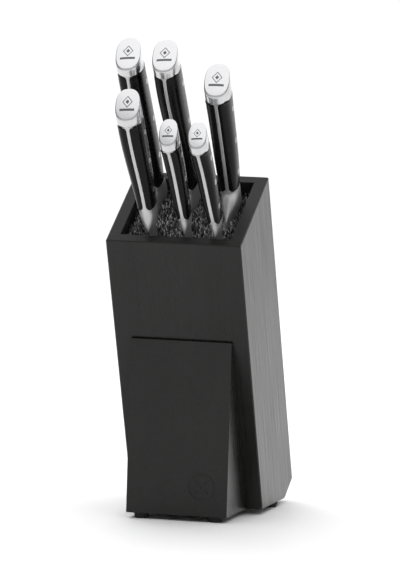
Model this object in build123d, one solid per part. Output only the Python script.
from build123d import *
import math
import os
from dataclasses import dataclass

# Knife block with knives: a square box of stained wood that leans forward on a solid prop wedge,
# filled with a removable bristle insert that holds six forged knives.
# Millimetres and degrees, +Z up. The model is first built with Y = 0 at the lower front edge of the
# box and Z = 0 on the table, then everything moves along Y so that the origin is bottom centre.
#
# Three frames are used:
#   world   X to the right, Y to the rear, Z up
#   mouth   origin at the middle of the box's upper front edge, X to the right, Y square to the front
#           panel towards the rear panel, Z up along the lean
#   knife   origin at the front of the handle scales' foot, X across the knife, Y from edge to spine,
#           Z up the knife towards the end cap

os.makedirs("parts", exist_ok=True)

# ---- box -----------------------------------------------------------------------------------------
BOX_WIDTH = 110.0
BOX_DEPTH = 109.0          # square to the lean, outside
FRONT_LENGTH = 250.7       # front panel, measured along the lean
LEAN = 28.0                # box axis from the vertical, top towards the front
WALL = 10.0
EDGE_BREAK = 0.8           # small chamfer on the outside edges
HEEL_ALONG_FLOOR = 35.5    # cut-off lower rear corner, along the underside
HEEL_UP_REAR = 16.0        # the same corner, up the rear face

# ---- prop wedge under the front ------------------------------------------------------------------
WEDGE_WIDTH = 83.0
WEDGE_HEIGHT = 141.0       # above the underside of the box
WEDGE_REACH = 73.5         # underside of the wedge, forward of the box's lower front edge
WEDGE_LIP = 2.0            # thickness left at the top of the wedge
RING_MARK_RADIUS = 11.0    # plain pressed ring on the face of the wedge
RING_MARK_WIDTH = 1.2
RING_MARK_DEPTH = 0.5
RING_MARK_X = 20.6
RING_MARK_HEIGHT = 24.0    # centre above the underside

# ---- fasteners and feet --------------------------------------------------------------------------
SCREW_SHANK = 4.0
SCREW_HEAD = 8.0
SCREW_HEAD_HEIGHT = 3.0
WEDGE_SCREW_LENGTH = 34.0
WEDGE_SCREW_X = 25.0
WEDGE_SCREW_UP = 70.0      # along the front panel from its lower edge
FOOT_HEIGHT = 4.5
FOOT_TOP = 13.0
FOOT_BOTTOM = 11.0
FOOT_SCREW_SHANK = 3.0
FOOT_SCREW_HEAD = 6.0
FOOT_SCREW_HEAD_HEIGHT = 1.6
FOOT_SCREW_DEPTH = 12.0    # into the wood
FOOT_SCREW_SUNK = 1.2      # head above the bottom of the foot
FRONT_FOOT_X = 30.6
FRONT_FOOT_INSET = 9.0     # centre behind the wedge's lower front edge
REAR_FOOT_INSET = 27.0     # centre ahead of the rear end of the underside

# ---- bristle insert ------------------------------------------------------------------------------
MOUTH_DROP = 9.0           # bristle tips below the rim
INSERT_GAP = 0.5           # all round, so that the insert slides out
TRAY_THICKNESS = 5.0
SLOT_GAP = 0.5             # between a blade and its slot

# ---- knives --------------------------------------------------------------------------------------
TANG = 3.2                 # full tang, seen as a strip between the scales
TANG_ROOT = 3.0            # the tang's middle runs this far down inside the bolster
SPINE = 2.6                # blade thickness at the spine
EDGE = 0.4                 # blade thickness at the cutting edge
POINT_BLUNT = 0.6          # width of the blade's point
SCALE_ROUND = 0.62         # corner radius of a scale, as a share of its own thickness
SCALE_FOOT_FILLET = 1.2
RIVET = 5.0
RIVET_PROUD = 0.15
CAP_ROUND = 0.96           # corner radius of the end cap, as a share of its half width
BLADE_ROOT = 6.0           # the blade runs this far up inside the bolster
BOLSTER_SHARE = 0.98       # bolster's width against the scales' foot


@dataclass
class Handle:
    """Riveted handle: sizes along Z from the foot of the scales, depths along Y."""
    length: float          # scales, foot to end cap
    depth: float           # at the foot
    belly: tuple           # how far the front stands forward at 1/3, 2/3 and the top
    half_width: tuple      # at the foot, 1/3, 2/3 and the top
    cap_height: float      # end cap at its front
    cap_slant: float       # end face from square, degrees
    rivet_below_cap: float
    rivet_pitch: float


INSETS_FOR = 45.0          # mouth's half width that insets and leans are given for: they spread with it


@dataclass
class Knife:
    """One knife: where it stands in the mouth, how it leans, and its blade."""
    name: str
    side: int              # -1 placed from the left panel's inner face, +1 from the right one's, 0 from the middle
    inset: float           # from that face to the knife's middle, or to the right of the middle
    row: str               # front or rear
    clear: float           # from that row's panel, inner face, to the scales' foot
    rise: float            # scales' foot above the rim
    lean: float            # top towards -X, degrees
    tilt: float            # top towards the front, degrees
    handle: Handle
    bolster: float         # length along Z
    heel_reach: float      # heel forward of the scales' foot
    blade: float           # heel to point
    point_back: float      # point forward of the spine line


LARGE = Handle(107.0, 20.0, (1.3, 6.6, 6.0), (6.6, 8.8, 10.0, 10.3), 6.4, 30.0, 13.0, 34.0)
CHEF = Handle(85.2, 20.1, (1.2, 2.6, 5.5), (7.6, 9.2, 9.7, 10.3), 6.7, 32.0, 12.0, 29.5)
MEDIUM = Handle(79.3, 17.8, (1.0, 4.1, 4.7), (7.2, 8.6, 9.6, 10.0), 7.0, 35.0, 11.0, 26.5)
SMALL = Handle(67.6, 14.7, (1.1, 1.8, 5.0), (5.2, 6.5, 7.2, 7.5), 5.9, 33.0, 9.5, 22.5)

KNIVES = [
    Knife("bread_knife", -1, 12.5, "rear", 6.0, 5.9, 5.4, 1.0, LARGE, 26.0, 14.0, 200.0, 3.0),
    Knife("carving_knife", 0, -3.2, "rear", 10.0, 7.6, 4.6, 1.0, LARGE, 28.0, 15.0, 200.0, 3.0),
    Knife("chef_knife", 1, 13.1, "rear", 17.1, 12.3, 1.1, 2.0, CHEF, 32.0, 21.0, 195.0, 6.0),
    Knife("utility_knife", -1, 20.9, "front", 3.2, 21.0, 4.2, 2.0, MEDIUM, 22.0, 1.2, 154.0, 4.0),
    Knife("steak_knife", 0, 6.1, "front", 3.2, 13.8, 3.7, 3.8, SMALL, 15.0, 1.0, 125.0, 3.0),
    Knife("paring_knife", 1, 14.1, "front", 2.9, 11.4, 5.2, 2.1, SMALL, 15.0, 1.0, 95.0, 3.0),
]

# ---- worked-out frames ---------------------------------------------------------------------------
SIN = math.sin(math.radians(LEAN))
COS = math.cos(math.radians(LEAN))
TAN = math.tan(math.radians(LEAN))
WOOD_Z = FOOT_HEIGHT                                   # underside of the wood
FAR = 2 * (FRONT_LENGTH + BOX_DEPTH + BOX_WIDTH)       # longer than anything here
ACROSS = BOX_WIDTH                                     # wider than any knife
MOUTH = Plane(
    origin=(0, -FRONT_LENGTH * SIN, WOOD_Z + FRONT_LENGTH * COS),
    x_dir=(1, 0, 0),
    z_dir=(0, -SIN, COS),
)
UNDERSIDE_END = BOX_DEPTH / COS                        # Y of the rear corner if it wasn't cut off
HEEL_START = UNDERSIDE_END - HEEL_ALONG_FLOOR          # Y where the underside ends
HEEL_END = Vector(UNDERSIDE_END - HEEL_UP_REAR * SIN, WOOD_Z + HEEL_UP_REAR * COS)


def side_prism(points, width):
    """Solid with the given (Y, Z) outline, centred across X."""
    outline = Plane.YZ * make_face(Polyline(*points, close=True))
    return extrude(outline, amount=width / 2, both=True)


def mouth_prism(points, up, down):
    """Solid with the given outline square to the lean, from up above the rim to down below it."""
    outline = make_face(Polyline(*points, close=True))
    solid = extrude(outline, amount=up + down)
    return MOUTH.location * (Pos(0, 0, -down) * solid)


def rectangle(low_x, low_y, high_x, high_y):
    return [(low_x, low_y), (high_x, low_y), (high_x, high_y), (low_x, high_y)]


# ---- box -----------------------------------------------------------------------------------------
def envelope():
    """Outside shape of the box, with its edges broken."""
    top_front = (-FRONT_LENGTH * SIN, WOOD_Z + FRONT_LENGTH * COS)
    top_rear = (top_front[0] + BOX_DEPTH * COS, top_front[1] + BOX_DEPTH * SIN)
    outline = [(0, WOOD_Z), (HEEL_START, WOOD_Z), (HEEL_END.X, HEEL_END.Y), top_rear, top_front]
    solid = side_prism(outline, BOX_WIDTH)
    return chamfer(solid.edges(), EDGE_BREAK)


def heel_slab(offset, thickness):
    """Slab that lies along the cut-off corner, its lower face offset inwards."""
    along = (HEEL_END - Vector(HEEL_START, WOOD_Z)).normalized()
    inward = Vector(-along.Y, along.X)
    low = Vector(HEEL_START, WOOD_Z) + inward * offset - along * FAR
    corners = [low, low + along * 2 * FAR, low + along * 2 * FAR + inward * thickness, low + inward * thickness]
    return side_prism([(c.X, c.Y) for c in corners], FAR)


def wall(corners):
    """One mitred wall of the box: its outline square to the lean, trimmed to the outside shape."""
    return mouth_prism(corners, FAR / 2, FAR / 2) & envelope()


def inner_corners(gap):
    half = BOX_WIDTH / 2 - WALL - gap
    return rectangle(-half, WALL + gap, half, BOX_DEPTH - WALL - gap)


def front_panel():
    half = BOX_WIDTH / 2
    panel = wall([(-half, 0), (half, 0), (half - WALL, WALL), (-half + WALL, WALL)])
    return panel - wedge_screw_holes()


def rear_panel():
    half = BOX_WIDTH / 2
    inner = BOX_DEPTH - WALL
    return wall([(-half, BOX_DEPTH), (half, BOX_DEPTH), (half - WALL, inner), (-half + WALL, inner)])


def side_panel(side):
    """side is -1 for the left panel and +1 for the right one."""
    outer = side * BOX_WIDTH / 2
    inner = side * (BOX_WIDTH / 2 - WALL)
    panel = wall([(outer, 0), (outer, BOX_DEPTH), (inner, BOX_DEPTH - WALL), (inner, WALL)])
    return panel - foot_screw_holes()


def floor_region(z_low, z_high):
    return side_prism(rectangle(-FAR, z_low, FAR, z_high), FAR)


def floor_board():
    """Level board between the walls."""
    inside = mouth_prism(inner_corners(0), 0, FAR / 2) & envelope()
    return (inside & floor_region(WOOD_Z, WOOD_Z + WALL)) - heel_slab(-FAR, FAR + WALL)


def heel_board():
    """Slanted board that closes the cut-off rear corner behind the floor board."""
    inside = mouth_prism(inner_corners(0), 0, FAR / 2) & envelope()
    return inside & heel_slab(0, WALL)


# ---- prop wedge, screws and feet -----------------------------------------------------------------
def prop_wedge():
    top_z = WOOD_Z + WEDGE_HEIGHT
    lip_y = -WEDGE_HEIGHT * TAN
    outline = [(0, WOOD_Z), (lip_y, top_z), (lip_y - WEDGE_LIP, top_z), (-WEDGE_REACH, WOOD_Z)]
    solid = side_prism(outline, WEDGE_WIDTH)
    front_edges = solid.edges().filter_by(Axis.X, reverse=True).sort_by(Axis.Y)[:2]
    bottom_edge = solid.edges().filter_by(Axis.X).group_by(Axis.Z)[0].sort_by(Axis.Y)[:1]
    solid = chamfer(front_edges + bottom_edge, EDGE_BREAK)
    return solid - ring_mark() - foot_screw_holes() - wedge_screw_holes()


def ring_mark():
    """Plain ring pressed into the face of the wedge, with four short ticks outside a centre dot."""
    face_lean = math.atan2(WEDGE_HEIGHT * TAN + WEDGE_LIP - WEDGE_REACH, WEDGE_HEIGHT)
    face_y = -WEDGE_REACH - RING_MARK_HEIGHT * math.tan(face_lean)
    normal = (0, -math.cos(face_lean), -math.sin(face_lean))
    face = Plane(origin=(RING_MARK_X, face_y, WOOD_Z + RING_MARK_HEIGHT), x_dir=(1, 0, 0), z_dir=normal)
    ring = Circle(RING_MARK_RADIUS) - Circle(RING_MARK_RADIUS - RING_MARK_WIDTH)
    ring += Circle(RING_MARK_WIDTH)
    for turn in range(4):
        tick = Rectangle(RING_MARK_RADIUS / 3, RING_MARK_WIDTH)
        ring += Rot(0, 0, 90 * turn + 45) * (Pos(RING_MARK_RADIUS / 2, 0) * tick)
    return face.location * extrude(ring, amount=RING_MARK_DEPTH, both=True)


def wedge_screw_frames():
    """Screw heads sit in the inner face of the front panel and point forward."""
    for x in (-WEDGE_SCREW_X, WEDGE_SCREW_X):
        along = WEDGE_SCREW_UP - FRONT_LENGTH
        yield MOUTH.location * Location(Plane(origin=(x, WALL, along), x_dir=(1, 0, 0), z_dir=(0, -1, 0)))


def wedge_screw_holes():
    holes = []
    for frame in wedge_screw_frames():
        shank = Cylinder(SCREW_SHANK / 2, WEDGE_SCREW_LENGTH, align=(Align.CENTER, Align.CENTER, Align.MIN))
        head = Pos(0, 0, SCREW_HEAD_HEIGHT) * Cylinder(SCREW_HEAD / 2, FAR, align=(Align.CENTER, Align.CENTER, Align.MAX))
        holes.append(frame * (shank + head))
    return holes


def wedge_screws():
    """Two pan-head screws that hold the wedge from inside the box."""
    screws = []
    for frame in wedge_screw_frames():
        shank = Cylinder(SCREW_SHANK / 2, WEDGE_SCREW_LENGTH, align=(Align.CENTER, Align.CENTER, Align.MIN))
        head = Cylinder(SCREW_HEAD / 2, SCREW_HEAD_HEIGHT, align=(Align.CENTER, Align.CENTER, Align.MIN))
        cross = Box(SCREW_HEAD * 0.6, 1.0, 2.0) + Box(1.0, SCREW_HEAD * 0.6, 2.0)
        screws.append(frame * ((shank + head) - cross))
    return Compound(screws)


def foot_places():
    """Name and (X, Y) of each rubber foot."""
    front_y = -WEDGE_REACH + FRONT_FOOT_INSET
    rear_y = HEEL_START - REAR_FOOT_INSET
    rear_x = BOX_WIDTH / 2 - 0.7 * WALL
    return {
        "foot_front_left": (-FRONT_FOOT_X, front_y),
        "foot_front_right": (FRONT_FOOT_X, front_y),
        "foot_rear_left": (-rear_x, rear_y),
        "foot_rear_right": (rear_x, rear_y),
    }


def foot(x, y):
    """Tapered rubber foot with a stepped hole for its screw."""
    body = Cone(FOOT_BOTTOM / 2, FOOT_TOP / 2, FOOT_HEIGHT, align=(Align.CENTER, Align.CENTER, Align.MIN))
    hole = Cylinder(FOOT_SCREW_SHANK / 2, FAR)
    seat_top = FOOT_SCREW_SUNK + FOOT_SCREW_HEAD_HEIGHT
    seat = Cylinder(FOOT_SCREW_HEAD / 2, seat_top, align=(Align.CENTER, Align.CENTER, Align.MIN))
    return Pos(x, y, 0) * (body - hole - seat)


def foot_screw(x, y):
    low = (Align.CENTER, Align.CENTER, Align.MIN)
    head = Pos(0, 0, FOOT_SCREW_SUNK) * Cylinder(FOOT_SCREW_HEAD / 2, FOOT_SCREW_HEAD_HEIGHT, align=low)
    shank_length = WOOD_Z + FOOT_SCREW_DEPTH - FOOT_SCREW_SUNK
    shank = Pos(0, 0, FOOT_SCREW_SUNK) * Cylinder(FOOT_SCREW_SHANK / 2, shank_length, align=low)
    return Pos(x, y, 0) * (head + shank)


def foot_screw_holes():
    holes = []
    for x, y in foot_places().values():
        low = (Align.CENTER, Align.CENTER, Align.MIN)
        hole = Cylinder(FOOT_SCREW_SHANK / 2, WOOD_Z + FOOT_SCREW_DEPTH, align=low)
        holes.append(Pos(x, y, 0) * hole)
    return holes


# ---- bristle insert ------------------------------------------------------------------------------
def insert_region():
    """Space the insert may fill: inside the walls, above the floor and the heel board."""
    inside = mouth_prism(inner_corners(INSERT_GAP), -MOUTH_DROP, FAR / 2)
    above_floor = floor_region(WOOD_Z + WALL + INSERT_GAP, FAR)
    return (inside & above_floor) - heel_slab(-FAR, FAR + WALL + INSERT_GAP)


def tray_cut():
    """Space above the tray's upper face."""
    above = floor_region(WOOD_Z + WALL + INSERT_GAP + TRAY_THICKNESS, FAR)
    return above - heel_slab(-FAR, FAR + WALL + INSERT_GAP + TRAY_THICKNESS)


def bristle_tray():
    return insert_region() - tray_cut()


def bristle_mass():
    """Packed bristles as one closed solid, with a slot down which each blade slides."""
    mass = insert_region() & tray_cut()
    for knife in KNIVES:
        mass -= knife_location(knife) * blade_slot(knife)
    return mass


# ---- knives --------------------------------------------------------------------------------------
def knife_foot(knife):
    """Front of the scales' foot, in the mouth frame."""
    spread = (BOX_WIDTH / 2 - WALL) / INSETS_FOR
    x = spread * {-1: knife.inset - INSETS_FOR, 0: knife.inset, 1: INSETS_FOR - knife.inset}[knife.side]
    front = WALL + knife.clear
    rear = BOX_DEPTH - WALL - knife.clear - knife.handle.depth
    return (x, front if knife.row == "front" else rear, knife.rise)


def knife_location(knife):
    """Knife frame in the world."""
    lean = math.tan(math.radians(knife.lean)) * (BOX_WIDTH / 2 - WALL) / INSETS_FOR
    tilt = math.tan(math.radians(knife.tilt))
    frame = Plane(
        origin=knife_foot(knife),
        x_dir=(1 + tilt * tilt, -tilt * lean, lean),
        z_dir=(-lean, -tilt, 1),
    )
    return MOUTH.location * frame.location


def handle_stations(handle):
    """Heights at which the handle's outline is given: foot, one third, two thirds, top."""
    return [handle.length * share / 3 for share in range(4)]


def handle_side(handle):
    """Outline of the handle seen from the side, in (Y, Z)."""
    heights = handle_stations(handle)
    front = [(0, 0)] + [(-swell, z) for swell, z in zip(handle.belly, heights[1:])]
    top = handle.length
    edges = [
        Spline(*front),
        Line(front[-1], (handle.depth, top)),
        Line((handle.depth, top), (handle.depth, 0)),
        Line((handle.depth, 0), (0, 0)),
    ]
    return make_face(edges)


def half_section(handle, station, side, proud):
    """Half of the handle's section on one side of the tang, with its outer corners rounded."""
    width = handle.half_width[station] + proud
    front = -((0,) + handle.belly)[station]
    inner = side * TANG / 2
    outer = side * width
    corners = [(inner, front), (outer, front), (outer, handle.depth), (inner, handle.depth)]
    flat = make_face(Polyline(*corners, close=True))
    rounded = [corner for corner in flat.vertices() if abs(corner.X - outer) < 0.01]
    return fillet(rounded, SCALE_ROUND * (width - TANG / 2))


def half_handle(handle, side, proud=0.0):
    """Half of the handle, lofted through its four sections."""
    sections = []
    for station, z in enumerate(handle_stations(handle)):
        sections.append(Pos(0, 0, z) * half_section(handle, station, side, proud))
    return loft(sections)


def rivet_heights(handle):
    first = handle.length - handle.rivet_below_cap
    return [first - handle.rivet_pitch * count for count in range(3)]


def rivet_pins(handle, length):
    pins = []
    for z in rivet_heights(handle):
        pin = Rot(0, 90, 0) * Cylinder(RIVET / 2, length)
        pins.append(Pos(0, handle.depth / 2 - 1.0, z) * pin)
    return pins


def scale(handle, side):
    """Handle scale on one side of the tang: side is -1 left, +1 right."""
    solid = half_handle(handle, side)
    foot_face = solid.faces().sort_by(Axis.Z)[0]
    outer = [edge for edge in foot_face.edges() if abs(edge.position_at(0.5).X) > TANG / 2 + 0.01]
    limit = SCALE_ROUND * (handle.half_width[0] - TANG / 2)
    return fillet(outer, min(SCALE_FOOT_FILLET, 0.9 * limit)) - rivet_pins(handle, ACROSS)


def rivets(handle):
    """Three pins through scales and tang, their ends a little proud of the scales."""
    room = half_handle(handle, -1, RIVET_PROUD) + half_handle(handle, 1, RIVET_PROUD) + Box(TANG, ACROSS, 2 * FRONT_LENGTH)
    return Compound([pin & room for pin in rivet_pins(handle, ACROSS)])


def tang(handle):
    """Flat plate of the handle's outline, which runs on a little way down into the bolster."""
    plate = extrude(Plane.YZ * handle_side(handle), amount=TANG / 2, both=True)
    root = Pos(0, handle.depth / 2, 0) * Box(TANG, handle.depth / 2, 2 * TANG_ROOT)
    return plate + root - rivet_pins(handle, ACROSS)


def end_cap(handle):
    """Steel cap on the butt: the handle's own outline, cut by a slanted end face."""
    front = -handle.belly[-1]
    depth = handle.depth - front
    half = handle.half_width[-1]
    outline = Pos(0, (front + handle.depth) / 2) * RectangleRounded(2 * half, depth, CAP_ROUND * half)
    slope = math.tan(math.radians(handle.cap_slant))
    tall = handle.cap_height + depth * slope
    solid = Pos(0, 0, handle.length) * extrude(outline, amount=tall)
    low = (front, handle.length + handle.cap_height)
    high = (handle.depth, handle.length + tall)
    above = [low, high, (high[0], high[1] + FAR), (low[0], low[1] + FAR)]
    return chamfer((solid - side_prism(above, FAR)).faces().sort_by(Axis.Z)[-1].edges(), EDGE_BREAK / 2)


def blade_side(knife, gap, up):
    """Blade seen from the side, in (Y, Z), grown by gap; the part above the heel is up high."""
    heel = Vector(-knife.heel_reach - gap, -knife.bolster - gap)
    spine = knife.handle.depth - 0.5 + gap
    point = Vector(spine - gap - knife.point_back - POINT_BLUNT - gap, heel.Y - knife.blade)
    blunt = point + Vector(POINT_BLUNT + 2 * gap, 0)
    depth = spine - heel.X
    belly = Vector(heel.X, heel.Y - 0.68 * knife.blade)
    sweep = Vector(point.X - 0.45 * depth, point.Y + 0.08 * knife.blade)
    drop = Vector(spine, point.Y + 0.4 * knife.blade)
    top = heel.Y + up
    edges = [
        Line((heel.X, top), heel),
        Bezier(heel, belly, sweep, point),
        Line(point, blunt),
        Line(blunt, drop),
        Line(drop, (spine, top)),
        Line((spine, top), (heel.X, top)),
    ]
    return make_face(edges)


def blade(knife):
    """Ground blade: its side outline, tapered from the spine to the cutting edge."""
    flat = extrude(Plane.YZ * blade_side(knife, 0, BLADE_ROOT), amount=SPINE, both=True)
    section = make_face(Polyline(
        (-EDGE / 2, -knife.heel_reach),
        (EDGE / 2, -knife.heel_reach),
        (SPINE / 2, knife.handle.depth),
        (-SPINE / 2, knife.handle.depth),
        close=True,
    ))
    return flat & extrude(section, amount=FRONT_LENGTH, both=True)


def bolster_width(knife, gap):
    """Bolster seen from the front, in (X, Z): full at the handle, then rounded down to the blade."""
    top = BOLSTER_SHARE * knife.handle.half_width[0] + gap
    low = SPINE / 2 + 0.4 + gap
    foot = -knife.bolster - gap
    waist = (top, 0.6 * foot)
    edges = [
        Bezier((top, 0), waist, (low, foot)),
        Line((low, foot), (-low, foot)),
        Bezier((-low, foot), (-waist[0], waist[1]), (-top, 0)),
        Line((-top, 0), (top, 0)),
    ]
    return make_face(edges)


def bolster(knife):
    """Solid collar between handle and blade, which runs forward and down to the heel."""
    foot = -knife.bolster
    heel = (-knife.heel_reach, foot)
    back = knife.handle.depth
    outline = make_face([
        Bezier((0, 0), (0, 0.35 * foot), (-knife.heel_reach, 0.6 * foot), heel),
        Line(heel, (back - 0.5, foot)),
        Line((back - 0.5, foot), (back, 0)),
        Line((back, 0), (0, 0)),
    ])
    side = extrude(Plane.YZ * outline, amount=ACROSS, both=True)
    plan = extrude(Plane.XZ * bolster_width(knife, 0), amount=ACROSS, both=True)
    return side & plan


def forging(knife):
    """Blade, bolster and tang, forged as one piece."""
    return tang(knife.handle) + bolster(knife) + blade(knife)


def blade_slot(knife):
    """Room in the bristles: straight up from the heel, so that the whole knife slides out."""
    gap = SLOT_GAP
    above = knife.bolster + 2 * gap
    slim = extrude(Plane.YZ * blade_side(knife, gap, above), amount=SPINE / 2 + gap, both=True)
    across = Pos(0, (knife.handle.depth - knife.heel_reach) / 2, 0)
    depth = knife.handle.depth + knife.heel_reach + 2 * gap
    collar = extrude(Plane.XZ * bolster_width(knife, gap), amount=depth / 2, both=True)
    return slim + across * collar


# ---- everything ----------------------------------------------------------------------------------
def build_all():
    """Every node at its place, before the move to the bottom centre."""
    nodes = {
        "front_panel": front_panel(),
        "rear_panel": rear_panel(),
        "left_panel": side_panel(-1),
        "right_panel": side_panel(1),
        "floor_board": floor_board(),
        "heel_board": heel_board(),
        "prop_wedge": prop_wedge(),
        "wedge_screws": wedge_screws(),
        "bristle_tray": bristle_tray(),
        "bristle_mass": bristle_mass(),
    }
    for name, (x, y) in foot_places().items():
        nodes[name] = foot(x, y)
    nodes["foot_screws"] = Compound([foot_screw(x, y) for x, y in foot_places().values()])
    for knife in KNIVES:
        place = knife_location(knife)
        nodes[knife.name + "_forging"] = place * forging(knife)
        nodes[knife.name + "_scale_left"] = place * scale(knife.handle, -1)
        nodes[knife.name + "_scale_right"] = place * scale(knife.handle, 1)
        nodes[knife.name + "_end_cap"] = place * end_cap(knife.handle)
        nodes[knife.name + "_rivets"] = place * rivets(knife.handle)
    return nodes


def bottom_centre(nodes):
    """Middle of the whole outline in X and Y, on the table."""
    boxes = [solid.bounding_box() for solid in nodes.values()]
    low = [min(box.min.X for box in boxes), min(box.min.Y for box in boxes)]
    high = [max(box.max.X for box in boxes), max(box.max.Y for box in boxes)]
    return Vector((low[0] + high[0]) / 2, (low[1] + high[1]) / 2, 0)


NODES = build_all()
CENTRE = bottom_centre(NODES)
for node_name, node in NODES.items():
    export_step(Pos(-CENTRE.X, -CENTRE.Y, 0) * node, f"parts/{node_name}.step")
print("moved by", round(-CENTRE.X, 3), round(-CENTRE.Y, 3))
